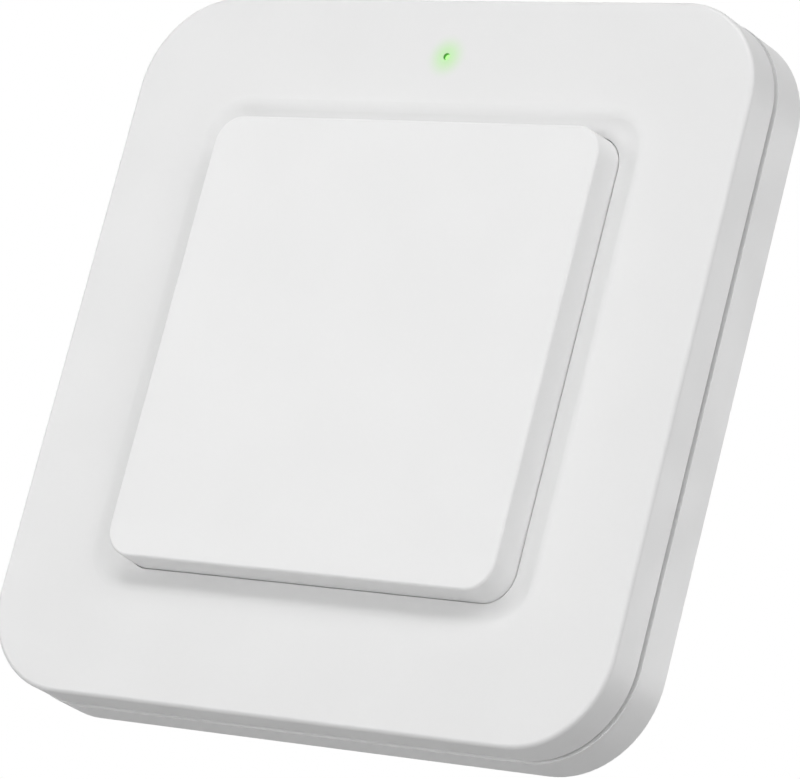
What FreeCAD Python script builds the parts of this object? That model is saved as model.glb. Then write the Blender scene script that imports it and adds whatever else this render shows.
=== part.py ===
import FreeCAD, Part
import math
import os

from FreeCAD import Vector

# Wireless wall switch: one large rocker key in a square plate, with a radio board and a coin cell.
# Sizes are in millimetres and angles in degrees.
# Each piece is drawn lying on its back: X to the right, Y up the wall and Z out of the wall, with
# the origin at the centre of the wall face. save() stands it up, so that the front faces -Y.

# Plate: rear housing and front frame
plate_size = 80.0
plate_corner = 10.8
plate_height = 9.4
side_draft = 1.0
rim_height = 4.6
seam_width = 0.6
seam_depth = 0.85
frame_inset = 0.12
shell_wall = 1.8
floor_thickness = 1.5
face_thickness = 1.6
front_edge_radius = 0.45
back_edge_radius = 0.15
lip_rise = 1.8
lip_clearance = 0.1

# Dish round the key
dish_width_x = 3.0
dish_width_y = 2.15
dish_depth = 1.15
dish_corner = 4.2
dish_blend = 2.5
collar_width = 2.2
collar_reach = 2.8

# Key cap
key_size = 49.8
key_rise = 2.6
key_reach = 2.7
key_corner = 3.2
key_draft = 2.5
key_edge_radius = 0.3
key_gap = 0.1
cap_wall = 1.5
cap_top = 1.8
cap_inner_corner = 1.7

# Hinge between the cradle and the carrier
tilt_angle = 2.0
pin_diameter = 2.0
pin_clearance = 0.05
pin_entry = 1.7
pin_entry_lead = 0.3
post_thickness = 2.0
post_width = 5.2
post_cover = 0.45
post_gap = 0.4
arm_thickness = 1.6
arm_radius = 1.6
arm_side_gap = 0.3
cap_side_gap = 0.5

# Rocker cradle
cradle_thickness = 1.4
cradle_edge_gap = 0.3
cradle_rim = 2.0
cradle_bar = 4.6
clip_width = 5.0
clip_spread = 12.0
clip_thickness = 0.9
clip_nose = 0.5
clip_nose_height = 0.8
clip_gap = 0.05
stop_length = 3.0
stop_thickness = 1.6
stop_side_gap = 1.0
stop_gap = 0.06

# Key carrier
carrier_thickness = 1.4
carrier_ring = 4.2
carrier_margin_x = 2.2
carrier_margin_y = 0.55
carrier_corner = 2.5
carrier_pad = 6.2

# Circuit board
board_thickness = 1.0
board_margin = 0.8
board_above_light = 3.0
board_corner = 2.0

# Snap hooks between the shells
hook_spread = 20.0
hook_width = 7.0
hook_thickness = 1.2
hook_nose = 0.55
hook_nose_height = 1.25
hook_below_rim = 0.7
hook_gap = 0.1

# Stiffening ribs
rib_thickness = 1.0
rib_below_board = 0.4
frame_rib_spread = 12.0

# Wall screws: two slots on the usual wall box spacing
wall_screw_spacing = 60.0
wall_slot_width = 4.5
wall_slot_length = 7.5
wall_slot_rim = 1.2
wall_slot_rim_height = 0.6

# Mounting tape
pad_past_screw = 2.24
pad_width = 14.0
pad_thickness = 0.5
pad_corner = 2.0
pad_clearance = 0.2
pad_offset = 24.0

# Carrier screws and their bosses
screw_diameter = 2.2
screw_point_length = 0.8
screw_point_diameter = 1.1
screw_head_diameter = 4.0
screw_head_height = 1.5
screw_head_round = 0.8
screw_recess_length = 2.2
screw_recess_width = 0.5
screw_recess_depth = 0.8
screw_clearance = 0.15
screw_bite_clearance = 0.03
screw_tip_gap = 0.3
screw_inset = 0.24
boss_diameter = 5.4
boss_floor = 0.4

# Locating pegs of the board
peg_diameter = 1.5
peg_rise = 0.7
peg_clearance = 0.05
peg_inset = 1.7

# Status light
light_x = 0.9
light_margin = 6.8
light_hole = 0.78
light_pipe_tip = 0.68
light_pipe_body = 2.4
light_pipe_flange = 3.4
light_pipe_flange_height = 0.8
light_pipe_clearance = 0.05
light_recess = 0.3
light_face = 1.0
light_boss = 4.4
light_boss_reach = 1.2
led_length = 2.0
led_width = 1.25
led_height = 0.65
led_lens = 1.4
led_gap = 0.35

# Coin cell and its holder
cell_diameter = 20.0
cell_height = 3.2
cell_cap_inset = 1.3
cell_step = 0.35
cell_edge_radius = 0.3
cell_lift = 0.7
cell_head_gap = 0.2
holder_clearance = 0.2
holder_wall = 1.0
holder_wall_height = 2.8
holder_ledge = 1.2
holder_floor = 0.4
holder_hook_width = 3.2
holder_hook_overlap = 0.8
holder_hook_thickness = 0.45
holder_hook_gap = 0.05
holder_hook_angle = 60.0
holder_side_gap = 1.2

# Battery contacts
contact_width = 4.0
contact_thickness = 0.2
contact_bend = 0.3
contact_gap = 0.2
contact_foot = 2.6
contact_tongue = 3.6
leaf_flat = 3.0
leaf_reach = 5.5
leaf_tip_gap = 0.02
leaf_window_gap = 0.5

# Tactile switches
switch_arm = 8.0
switch_side_gap = 3.0
switch_length = 6.0
switch_width = 5.5
switch_height = 3.1
switch_cavity = 4.7
switch_floor = 1.3
switch_cover = 0.25
switch_tab_width = 1.2
switch_tab_length = 1.2
terminal_thickness = 0.2
terminal_width = 0.7
terminal_rise = 1.0
terminal_foot = 1.0
terminal_spread = 1.9
dome_diameter = 4.2
dome_height = 0.55
dome_thickness = 0.08
plunger_stem = 3.4
plunger_flange = 4.3
plunger_flange_thickness = 0.5
plunger_nub = 1.6
plunger_nub_height = 0.28
plunger_edge = 0.2
plunger_clearance = 0.08
plunger_dome_gap = 0.02
actuator_drop = 0.95
actuator_gap = 0.05
actuator_radius = 0.6
actuator_length = 3.0

# Controller
controller_width = 4.4
controller_length = 6.5
controller_height = 1.0
controller_standoff = 0.1
controller_ring_gap = 2.7
lead_pitch = 0.65
leads_per_side = 10
lead_width = 0.24
lead_thickness = 0.15
lead_shoulder = 0.4
lead_foot = 0.6
lead_root = 0.2

# Radio, crystal and small chips
radio_size = 4.0
radio_height = 0.85
radio_edge = 0.1
radio_x = -8.0
radio_gap = 1.2
crystal_length = 3.2
crystal_width = 2.5
crystal_height = 0.75
crystal_lid = 0.25
crystal_lid_inset = 0.25
crystal_gap = 1.4
chip_length = 1.6
chip_width = 0.8
chip_pitch = 2.4
chip_gap = 1.0
capacitor_height = 0.8
capacitor_count = 8
capacitor_x = -13.5
resistor_height = 0.45
resistor_count = 8
resistor_x = -5.4

# Antenna: a wire loop beside the status light
antenna_wire = 0.8
antenna_height = 1.2
antenna_bend = 1.0
antenna_left = 7.0
antenna_right = 21.0
antenna_margin = 1.5
antenna_carrier_gap = 4.05

# Spare length of a cut past the face it opens, and how near a level edge lies to its height
spare = 1.0
same_level = 0.001

# Plate outline and heights
plate_half = plate_size / 2
inner_half = plate_half - shell_wall
inner_corner = plate_corner - shell_wall
face_bottom = plate_height - face_thickness
frame_low = rim_height + seam_width
lip_top = rim_height + lip_rise
collar_bottom = plate_height - collar_reach
dish_floor = plate_height - dish_depth

# Key outline
key_top = plate_height + key_rise
key_bottom = plate_height - key_reach
key_half = key_size / 2
key_flare = (key_top - dish_floor) * math.tan(math.radians(key_draft))
key_foot_half = key_half + key_flare
key_foot_corner = key_corner + key_flare
opening_half = key_foot_half + key_gap
opening_corner = key_foot_corner + key_gap
cap_inner_half = key_half - cap_wall
cap_ceiling = key_top - cap_top

# Hinge, from the cap inwards and down
cradle_low = cap_ceiling - cradle_thickness
cradle_half_x = cap_inner_half - cradle_edge_gap
cradle_half_y = cap_inner_half - clip_thickness - cradle_edge_gap
pin_radius = pin_diameter / 2
bore_radius = pin_radius + pin_clearance
post_top = cradle_low - post_gap
hinge_height = post_top - post_cover - bore_radius
post_outer = cap_inner_half - cap_side_gap
post_inner = post_outer - post_thickness
arm_outer = post_inner - arm_side_gap
arm_inner = arm_outer - arm_thickness
pin_end = post_outer + cap_side_gap / 2

# Cell, board and carrier, from the cradle down
cell_radius = cell_diameter / 2
holder_inner = cell_radius + holder_clearance
holder_radius = holder_inner + holder_wall
tilt_at_holder = holder_radius * math.sin(math.radians(tilt_angle))
cell_top = cradle_low - tilt_at_holder - cell_head_gap - holder_hook_thickness - holder_hook_gap
cell_low = cell_top - cell_height
board_top = cell_low - cell_lift
board_height = board_top - board_thickness
carrier_top = board_top + carrier_thickness
carrier_half_x = post_outer + carrier_margin_x
carrier_half_y = cap_inner_half + carrier_margin_y
window_half_x = post_inner
window_half_y = carrier_half_y - carrier_ring
screw_x = window_half_x - screw_inset
screw_y = window_half_y - screw_inset
pad_length = 2 * (screw_x + pad_past_screw)
boss_bottom = pad_thickness + boss_floor

# Places on the board
light_y = plate_half - light_margin
board_half_x = carrier_half_x + board_margin
board_low_y = -carrier_half_y - board_margin
board_high_y = light_y + board_above_light
capacitor_y = carrier_half_y + chip_gap + chip_length / 2
radio_y = capacitor_y + chip_length / 2 + radio_gap + radio_size / 2
resistor_y = -window_half_y + chip_gap + chip_length / 2
peg_x = board_half_x - peg_inset
peg_y = radio_y
antenna_high_y = board_high_y - antenna_margin
cell_x = holder_radius + holder_side_gap - arm_inner
switch_x = cell_x + holder_radius + switch_side_gap + switch_length / 2
controller_x = window_half_x - controller_ring_gap - lead_foot - lead_shoulder - controller_width / 2

# Heights in the tactile switches
cup_floor = board_top + switch_floor
cup_top = board_top + switch_height
cover_top = cup_top + switch_cover
plunger_top = cradle_low - actuator_drop


def rounded_wire(half_x, half_y, radius, z, x=0.0, y=0.0):
    """Closed outline of a rectangle with round corners, level at height z."""
    to_middle = radius * (1 - math.sqrt(0.5))
    arcs = []
    for side_x, side_y in ((1, -1), (1, 1), (-1, 1), (-1, -1)):
        on_side = Vector(x + side_x * half_x, y + side_y * (half_y - radius), z)
        on_end = Vector(x + side_x * (half_x - radius), y + side_y * half_y, z)
        middle = Vector(x + side_x * (half_x - to_middle), y + side_y * (half_y - to_middle), z)
        first, last = (on_side, on_end) if side_x == side_y else (on_end, on_side)
        arcs.append((first, middle, last))
    edges = []
    for arc, following in zip(arcs, arcs[1:] + arcs[:1]):
        edges.append(Part.Arc(*arc).toShape())
        if arc[2].distanceToPoint(following[0]) > Part.Precision.confusion():
            edges.append(Part.makeLine(arc[2], following[0]))
    return Part.Wire(edges)


def rounded_prism(half_x, half_y, radius, low, high, x=0.0, y=0.0):
    """Upright prism on a rounded rectangle."""
    return Part.Face(rounded_wire(half_x, half_y, radius, low, x, y)).extrude(Vector(0, 0, high - low))


def square_prism(half, radius, low, high):
    """Upright prism on a rounded square about the origin."""
    return rounded_prism(half, half, radius, low, high)


def tapered_prism(low_half, low_corner, low, high_half, high_corner, high):
    """Rounded square prism whose sides lean at a steady slope."""
    low_wire = rounded_wire(low_half, low_half, low_corner, low)
    high_wire = rounded_wire(high_half, high_half, high_corner, high)
    return Part.makeLoft([low_wire, high_wire], True, True)


def block(x_pair, y_pair, z_pair):
    """Box between two planes each way; a pair may come in either order."""
    low = Vector(min(x_pair), min(y_pair), min(z_pair))
    size = Vector(max(x_pair), max(y_pair), max(z_pair)) - low
    return Part.makeBox(size.x, size.y, size.z, low)


def centred_block(length, width, low, high, x=0.0, y=0.0):
    """Box centred on x and y."""
    return block((x - length / 2, x + length / 2), (y - width / 2, y + width / 2), (low, high))


def cylinder(radius, low, high, x=0.0, y=0.0):
    """Upright cylinder."""
    return Part.makeCylinder(radius, high - low, Vector(x, y, low))


def level_cylinder(radius, x_pair, y, z):
    """Cylinder along X."""
    length = max(x_pair) - min(x_pair)
    return Part.makeCylinder(radius, length, Vector(min(x_pair), y, z), Vector(1, 0, 0))


def extruded(points, push):
    """Solid of a flat polygon pushed along a vector."""
    return Part.Face(Part.makePolygon(points + [points[0]])).extrude(push)


def turned(profile, x=0.0, y=0.0):
    """Solid of revolution about the upright line through x and y; profile lists (radius, height)."""
    points = [Vector(x + radius, y, height) for radius, height in profile]
    face = Part.Face(Part.makePolygon(points + [points[0]]))
    return face.revolve(Vector(x, y, 0), Vector(0, 0, 1), 360)


def bent_path(points, bend):
    """Straight runs through the points, joined by arcs of one radius."""
    edges = []
    start = points[0]
    for before, corner, after in zip(points, points[1:], points[2:]):
        into = (corner - before).normalize()
        out = (after - corner).normalize()
        half_turn = into.getAngle(out) / 2
        enter = corner - into * bend * math.tan(half_turn)
        leave = corner + out * bend * math.tan(half_turn)
        middle = corner + (out - into).normalize() * bend * (1 / math.cos(half_turn) - 1)
        edges.append(Part.makeLine(start, enter))
        edges.append(Part.Arc(enter, middle, leave).toShape())
        start = leave
    edges.append(Part.makeLine(start, points[-1]))
    return Part.Wire(edges)


def bent_strip(points, x):
    """Contact strip along a bent path in the plane of Y and Z, centred on x."""
    path = bent_path([Vector(x, y, z) for y, z in points], contact_bend)
    ahead = (path.Edges[0].Vertexes[1].Point - path.Edges[0].Vertexes[0].Point).normalize()
    across = Vector(contact_width / 2, 0, 0)
    through = ahead.cross(Vector(1, 0, 0)) * (contact_thickness / 2)
    start = Vector(x, *points[0])
    corners = [start + across + through, start - across + through,
               start - across - through, start + across - through]
    return path.makePipeShell([Part.makePolygon(corners + [corners[0]])], True, False)


def fused(shapes):
    """One solid from shapes that share volume or faces."""
    return shapes[0].fuse(shapes[1:]).removeSplitter()


def quarter_turns(shape):
    """The shape and its copies on the other three sides of the square."""
    return [shape.rotated(Vector(0, 0, 0), Vector(0, 0, 1), angle) for angle in (0, 90, 180, 270)]


def on_all_sides(shape, spread):
    """A shape of the +X side, moved both ways along it and copied to all four sides."""
    copies = []
    for offset in (-spread, spread):
        copies.extend(quarter_turns(shape.translated(Vector(0, offset, 0))))
    return copies


def level_edges(shape, z, inside=math.inf):
    """Edges that lie at height z and within a square about the origin."""
    found = []
    for edge in shape.Edges:
        box = edge.BoundBox
        reach = max(abs(box.XMin), abs(box.XMax), abs(box.YMin), abs(box.YMax))
        level = max(abs(box.ZMin - z), abs(box.ZMax - z))
        if level < same_level and reach < inside:
            found.append(edge)
    return found


def four_corners(x, y):
    """The four points at plus and minus x and y."""
    return [(x, y), (-x, y), (-x, -y), (x, -y)]


def plate_at(z, step=0.0):
    """Half width and corner radius of the plate's outside at height z, a step further in."""
    inset = z * math.tan(math.radians(side_draft)) + step
    return plate_half - inset, plate_corner - inset


def plate_block(low, high, step=0.0):
    """The plate's outside between two heights, a step further in."""
    return tapered_prism(*plate_at(low, step), low, *plate_at(high, step), high)


def dish_block():
    """Space of the dish: four slopes from the key's opening up to the face, and on past it."""
    past_face = 1 + spare / dish_depth
    low_wire = rounded_wire(opening_half, opening_half, opening_corner, dish_floor)
    high_wire = rounded_wire(opening_half + dish_width_x * past_face,
                             opening_half + dish_width_y * past_face,
                             opening_corner + (dish_corner - opening_corner) * past_face,
                             plate_height + spare)
    return Part.makeLoft([low_wire, high_wire], True, True)


def wall_slots(margin, low, high):
    """The two wall screw slots, grown by a margin."""
    radius = wall_slot_width / 2 + margin
    half_length = wall_slot_length / 2 + margin
    return [rounded_prism(half_length, radius, radius, low, high, x)
            for x in (-wall_screw_spacing / 2, wall_screw_spacing / 2)]


def screw_holes(clearance, low, high):
    """The four carrier screw holes."""
    radius = screw_diameter / 2 + clearance
    return [cylinder(radius, low, high, x, y) for x, y in four_corners(screw_x, screw_y)]


def pegs(radius, low, high):
    """Upright cylinders at both locating pegs."""
    return [cylinder(radius, low, high, x, peg_y) for x in (-peg_x, peg_x)]


def hook_nose_block(clearance):
    """Nose of a snap hook on the +X side; grown by a clearance, it cuts its pocket."""
    face = inner_half - hook_gap
    tip = face + hook_nose + clearance
    top = rim_height - hook_below_rim + clearance
    low = rim_height - hook_below_rim - hook_nose_height - clearance
    start = -hook_width / 2 - clearance
    points = [
        Vector(face - hook_thickness / 2, start, low),
        Vector(face, start, low),
        Vector(tip, start, low + hook_nose),
        Vector(tip, start, top),
        Vector(face - hook_thickness / 2, start, top),
    ]
    return extruded(points, Vector(0, -2 * start, 0))


def rear_housing():
    """Shell against the wall: floor, rim, lip, bosses, pegs, slots and hook pockets."""
    shell = plate_block(0, rim_height)
    shell = shell.makeFillet(back_edge_radius, level_edges(shell, 0))
    lip_half, lip_corner = [size - seam_depth for size in plate_at(rim_height)]
    shell = shell.fuse(square_prism(lip_half, lip_corner, floor_thickness, lip_top))
    shell = shell.cut(square_prism(inner_half, inner_corner, floor_thickness, lip_top + spare))
    root = floor_thickness / 2
    raised = wall_slots(wall_slot_rim, root, floor_thickness + wall_slot_rim_height)
    raised.extend(screw_holes((boss_diameter - screw_diameter) / 2, root, board_height))
    raised.extend(pegs(boss_diameter / 2, root, board_height))
    raised.extend(pegs(peg_diameter / 2, root, board_top + peg_rise))
    rib_heights = (root, board_height - rib_below_board)
    half_rib = rib_thickness / 2
    for x in (-screw_x, 0, screw_x):
        raised.append(block((x - half_rib, x + half_rib), (-screw_y, peg_y), rib_heights))
    for y, reach in ((-screw_y, screw_x), (0, screw_x), (screw_y, screw_x), (peg_y, peg_x)):
        raised.append(block((-reach, reach), (y - half_rib, y + half_rib), rib_heights))
    shell = fused([shell] + raised)
    cuts = on_all_sides(hook_nose_block(hook_gap), hook_spread)
    cuts.extend(wall_slots(0, -spare, rim_height))
    cuts.extend(screw_holes(screw_bite_clearance, boss_bottom, board_height + spare))
    cuts.extend(tape_strips(pad_clearance, -spare))
    return shell.cut(cuts).removeSplitter()


def front_frame():
    """Front shell: face with the dish and the key opening, skirt over the lip, hooks and ribs."""
    frame = plate_block(frame_low, plate_height, frame_inset)
    frame = frame.makeFillet(front_edge_radius, level_edges(frame, plate_height))
    frame = frame.cut(dish_block())
    dish_half = opening_half + max(dish_width_x, dish_width_y)
    frame = frame.makeFillet(dish_blend, level_edges(frame, plate_height, inside=dish_half + spare))
    frame = frame.cut(square_prism(inner_half, inner_corner, frame_low - spare, face_bottom))
    groove_half, groove_corner = [size - seam_depth + lip_clearance for size in plate_at(rim_height)]
    frame = frame.cut(square_prism(groove_half, groove_corner,
                                   frame_low - spare, lip_top + lip_clearance))
    collar_half = opening_half + collar_width
    rooted = (face_bottom + dish_floor) / 2
    added = [square_prism(collar_half, opening_corner + collar_width, collar_bottom, rooted)]
    hook_face = inner_half - hook_gap
    hook_low = rim_height - hook_below_rim - hook_nose_height
    arm = block((hook_face - hook_thickness, hook_face), (-hook_width / 2, hook_width / 2),
                (hook_low, rooted))
    added.extend(on_all_sides(arm.fuse(hook_nose_block(0)), hook_spread))
    rib_low = lip_top + 2 * lip_clearance
    rib = block((collar_half - collar_width / 2, inner_half + rib_thickness / 2),
                (-rib_thickness / 2, rib_thickness / 2), (rib_low, rooted))
    added.extend(on_all_sides(rib, frame_rib_spread))
    boss_low = face_bottom - light_boss_reach
    added.append(cylinder(light_boss / 2, boss_low, rooted, light_x, light_y))
    frame = fused([frame] + added)
    pipe_radius = light_pipe_body / 2 + light_pipe_clearance
    cuts = [
        square_prism(opening_half, opening_corner, collar_bottom - spare, plate_height + spare),
        cylinder(light_hole / 2, boss_low - spare, plate_height + spare, light_x, light_y),
        cylinder(pipe_radius, boss_low - spare, plate_height - light_face, light_x, light_y),
    ]
    return frame.cut(cuts).removeSplitter()


def light_pipe():
    """Clear pipe that carries the status light to its hole."""
    low = board_top + led_height + led_gap
    flange_top = face_bottom - light_boss_reach
    flange_low = flange_top - light_pipe_flange_height
    shoulder = plate_height - light_face - light_pipe_clearance
    tip_top = plate_height - light_recess
    tip = light_pipe_tip / 2
    body = light_pipe_body / 2
    flange = light_pipe_flange / 2
    return turned([
        (0, low), (body, low), (body, flange_low), (flange, flange_low), (flange, flange_top),
        (body, flange_top), (body, shoulder), (tip, shoulder), (tip, tip_top), (0, tip_top),
    ], light_x, light_y)


def key_cap():
    """Rocker key that is seen and pressed: a shallow cap with four clips for the cradle."""
    upper = tapered_prism(key_foot_half, key_foot_corner, dish_floor, key_half, key_corner, key_top)
    upper = upper.makeFillet(key_edge_radius, level_edges(upper, key_top))
    lower = square_prism(key_foot_half, key_foot_corner, key_bottom, dish_floor)
    hollow = square_prism(cap_inner_half, cap_inner_corner, key_bottom - spare, cap_ceiling)
    cap = fused([upper, lower]).cut(hollow)
    root_y = cap_inner_half + cap_wall / 2
    root_z = cap_ceiling + cap_top / 2
    face_y = cap_inner_half - clip_thickness
    nose_y = cradle_half_y - clip_nose
    nose_top = cradle_low - clip_gap
    nose_low = nose_top - clip_nose_height
    start = -clip_width / 2
    profile = [
        (root_y, nose_low - clip_nose), (face_y, nose_low - clip_nose), (nose_y, nose_low),
        (nose_y, nose_top), (face_y, nose_top), (face_y, root_z), (root_y, root_z),
    ]
    clip = extruded([Vector(start, y, z) for y, z in profile], Vector(clip_width, 0, 0))
    clips = []
    for offset in (-clip_spread, clip_spread):
        moved = clip.translated(Vector(offset, 0, 0))
        clips.append(moved)
        clips.append(moved.rotated(Vector(0, 0, 0), Vector(0, 0, 1), 180))
    return fused([cap] + clips)


def cradle_plate():
    """The cradle's plate, open but for its rim, a bar over the switches and a level bar."""
    plate = rounded_prism(cradle_half_x, cradle_half_y, cap_inner_corner, cradle_low, cap_ceiling)
    half_bar = cradle_bar / 2
    window_x = arm_inner - cradle_rim
    window_y = cradle_half_y - cradle_rim
    through = (cradle_low - spare, cap_ceiling + spare)
    windows = []
    for x_pair in ((-window_x, switch_x - half_bar), (switch_x + half_bar, window_x)):
        for y_pair in ((-window_y, -half_bar), (half_bar, window_y)):
            windows.append(block(x_pair, y_pair, through))
    return plate.cut(windows)


def stop_feet():
    """Feet that meet the carrier's ring when the key is pressed home."""
    sine = math.sin(math.radians(tilt_angle))
    cosine = math.cos(math.radians(tilt_angle))
    outer = cradle_half_y - cradle_edge_gap
    inner = outer - stop_thickness
    low = hinge_height + (carrier_top + stop_gap - hinge_height + outer * sine) / cosine
    stop_x = clip_spread - clip_width / 2 - stop_side_gap - stop_length / 2
    feet = []
    for x, y_side in four_corners(stop_x, 1):
        feet.append(block((x - stop_length / 2, x + stop_length / 2), (y_side * inner, y_side * outer),
                          (low, cap_ceiling - cradle_thickness / 2)))
    return feet


def rocker_cradle():
    """Hinged frame inside the key: plate, arms with trunnions, actuators and end stops."""
    rooted = cap_ceiling - cradle_thickness / 2
    actuator_z = plunger_top + actuator_gap + actuator_radius
    actuator_x = (switch_x - actuator_length / 2, switch_x + actuator_length / 2)
    added = stop_feet()
    for side in (-1, 1):
        arm_x = (side * arm_inner, side * arm_outer)
        added.append(block(arm_x, (-arm_radius, arm_radius), (hinge_height, rooted)))
        added.append(level_cylinder(arm_radius, arm_x, 0, hinge_height))
        added.append(level_cylinder(pin_radius, (side * arm_inner, side * pin_end), 0, hinge_height))
        y = side * switch_arm
        added.append(level_cylinder(actuator_radius, actuator_x, y, actuator_z))
        added.append(block(actuator_x, (y - actuator_radius, y + actuator_radius), (actuator_z, rooted)))
    return fused([cradle_plate()] + added)


def key_carrier():
    """Ring over the board with the two bearing posts of the key."""
    ring = rounded_prism(carrier_half_x, carrier_half_y, carrier_corner, board_top, carrier_top)
    ring = ring.cut(rounded_prism(window_half_x, window_half_y, carrier_corner,
                                  board_top - spare, carrier_top + spare))
    added = screw_holes((carrier_pad - screw_diameter) / 2, board_top, carrier_top)
    cuts = screw_holes(screw_clearance, board_top - spare, carrier_top + spare)
    half_entry = pin_entry / 2
    flared = half_entry + pin_entry_lead + spare
    for side in (-1, 1):
        added.append(block((side * post_inner, side * post_outer), (-post_width / 2, post_width / 2),
                           (board_top, post_top)))
        past_post = (side * (post_inner - spare), side * (post_outer + spare))
        cuts.append(level_cylinder(bore_radius, past_post, 0, hinge_height))
        start = min(past_post)
        profile = [
            (-half_entry, hinge_height), (half_entry, hinge_height),
            (half_entry, post_top - pin_entry_lead), (flared, post_top + spare),
            (-flared, post_top + spare), (-half_entry, post_top - pin_entry_lead),
        ]
        push = Vector(max(past_post) - start, 0, 0)
        cuts.append(extruded([Vector(start, y, z) for y, z in profile], push))
    return fused([ring] + added).cut(cuts).removeSplitter()


def circuit_board():
    """Board with its screw holes and peg holes."""
    half_y = (board_high_y - board_low_y) / 2
    middle_y = (board_high_y + board_low_y) / 2
    board = rounded_prism(board_half_x, half_y, board_corner, board_height, board_top, 0, middle_y)
    holes = screw_holes(screw_clearance, board_height - spare, board_top + spare)
    holes.extend(pegs(peg_diameter / 2 + peg_clearance, board_height - spare, board_top + spare))
    return board.cut(holes)


def carrier_screw(x, y):
    """Pan head self-tapping screw with a cross recess."""
    head_top = carrier_top + screw_head_height
    head = cylinder(screw_head_diameter / 2, carrier_top, head_top)
    head = head.makeFillet(screw_head_round, level_edges(head, head_top))
    tip = boss_bottom + screw_tip_gap
    shank = screw_diameter / 2
    thread = turned([(0, tip), (screw_point_diameter / 2, tip), (shank, tip + screw_point_length),
                     (shank, carrier_top), (0, carrier_top)])
    recess_low = head_top - screw_recess_depth
    recess = [centred_block(screw_recess_length, screw_recess_width, recess_low, head_top + spare),
              centred_block(screw_recess_width, screw_recess_length, recess_low, head_top + spare)]
    return fused([head, thread]).cut(recess).translated(Vector(x, y, 0))


def carrier_screws():
    """The four screws that hold carrier and board down on the housing."""
    return Part.makeCompound([carrier_screw(x, y) for x, y in four_corners(screw_x, screw_y)])


def tape_strips(margin, low):
    """Both strips of mounting tape, grown by a margin, from a height up to the tape's thickness."""
    return [rounded_prism(pad_length / 2 + margin, pad_width / 2 + margin, pad_corner + margin,
                          low, pad_thickness, 0, y) for y in (-pad_offset, pad_offset)]


def coin_cell():
    """Lithium coin cell, plus side to the front."""
    cap = cell_radius - cell_cap_inset
    can_low = cell_low + cell_step
    cell = turned([(0, cell_low), (cap, cell_low), (cap, can_low), (cell_radius, can_low),
                   (cell_radius, cell_top), (0, cell_top)])
    rims = [edge for edge in level_edges(cell, cell_top) + level_edges(cell, can_low)
            if edge.BoundBox.XLength > cell_diameter - cell_cap_inset]
    return cell.makeFillet(cell_edge_radius, rims).translated(Vector(cell_x, 0, 0))


def battery_holder():
    """Round tray with a ledge for the cell, two hooks over it and a gap for the contact."""
    wall_top = board_top + holder_wall_height
    ledge_top = cell_low + cell_step
    ledge_inner = holder_inner - holder_ledge
    floor_top = board_top + holder_floor
    hook_low = cell_top + holder_hook_gap
    hook_top = hook_low + holder_hook_thickness
    tray = turned([
        (0, board_top), (holder_radius, board_top), (holder_radius, wall_top), (holder_inner, wall_top),
        (holder_inner, ledge_top), (ledge_inner, ledge_top), (ledge_inner, floor_top), (0, floor_top),
    ])
    hook_ring = turned([
        (holder_inner, board_top), (holder_radius, board_top), (holder_radius, hook_top),
        (cell_radius - holder_hook_overlap, hook_top), (cell_radius - holder_hook_overlap, hook_low),
        (holder_inner, hook_low),
    ])
    pieces = [tray]
    for angle in (holder_hook_angle, 180 - holder_hook_angle):
        sector = block((0, 2 * holder_radius), (-holder_hook_width / 2, holder_hook_width / 2),
                       (board_top, hook_top))
        pieces.append(hook_ring.common(sector.rotated(Vector(0, 0, 0), Vector(0, 0, 1), angle)))
    leaf_window = centred_block(contact_width + 2 * leaf_window_gap, 2 * (leaf_reach + leaf_window_gap),
                                board_top - spare, floor_top + spare)
    contact_way = block((-contact_width / 2 - contact_gap, contact_width / 2 + contact_gap),
                        (-holder_radius - spare, -holder_inner + holder_clearance),
                        (ledge_top, wall_top + spare))
    tray = fused(pieces).cut([leaf_window, contact_way])
    return tray.removeSplitter().translated(Vector(cell_x, 0, 0))


def battery_positive_contact():
    """Strip that stands beside the holder and presses on the cell's plus side."""
    stand_y = -holder_radius - contact_gap
    foot_z = board_top + contact_thickness / 2
    tongue_z = cell_top + contact_thickness / 2
    return bent_strip([(stand_y - contact_foot, foot_z), (stand_y, foot_z),
                       (stand_y, tongue_z), (stand_y + contact_tongue, tongue_z)], cell_x)


def battery_negative_contact():
    """Leaf under the cell: flat on the board, with two arms that rise to the minus side."""
    foot_z = board_top + contact_thickness / 2
    tip_z = cell_low - leaf_tip_gap - contact_thickness
    return bent_strip([(-leaf_reach, tip_z), (-leaf_flat, foot_z), (leaf_flat, foot_z),
                       (leaf_reach, tip_z)], cell_x)


def switch_base(y):
    """Moulded cup of a tactile switch."""
    base = centred_block(switch_length, switch_width, board_top, cup_top, switch_x, y)
    return base.cut(cylinder(switch_cavity / 2, cup_floor, cup_top + spare, switch_x, y))


def switch_cover_plate(y):
    """Steel cover of a tactile switch with four tabs down its sides."""
    cover = [centred_block(switch_length, switch_width + 2 * switch_cover, cup_top, cover_top,
                           switch_x, y)]
    tab_x = (switch_length - switch_tab_width) / 2
    tab_y = (switch_width + switch_cover) / 2
    for x_step, y_step in four_corners(tab_x, tab_y):
        cover.append(centred_block(switch_tab_width, switch_cover, cup_top - switch_tab_length,
                                   cover_top, switch_x + x_step, y + y_step))
    hole_radius = plunger_stem / 2 + plunger_clearance
    hole = cylinder(hole_radius, cup_top - spare, cover_top + spare, switch_x, y)
    return fused(cover).cut(hole)


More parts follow.
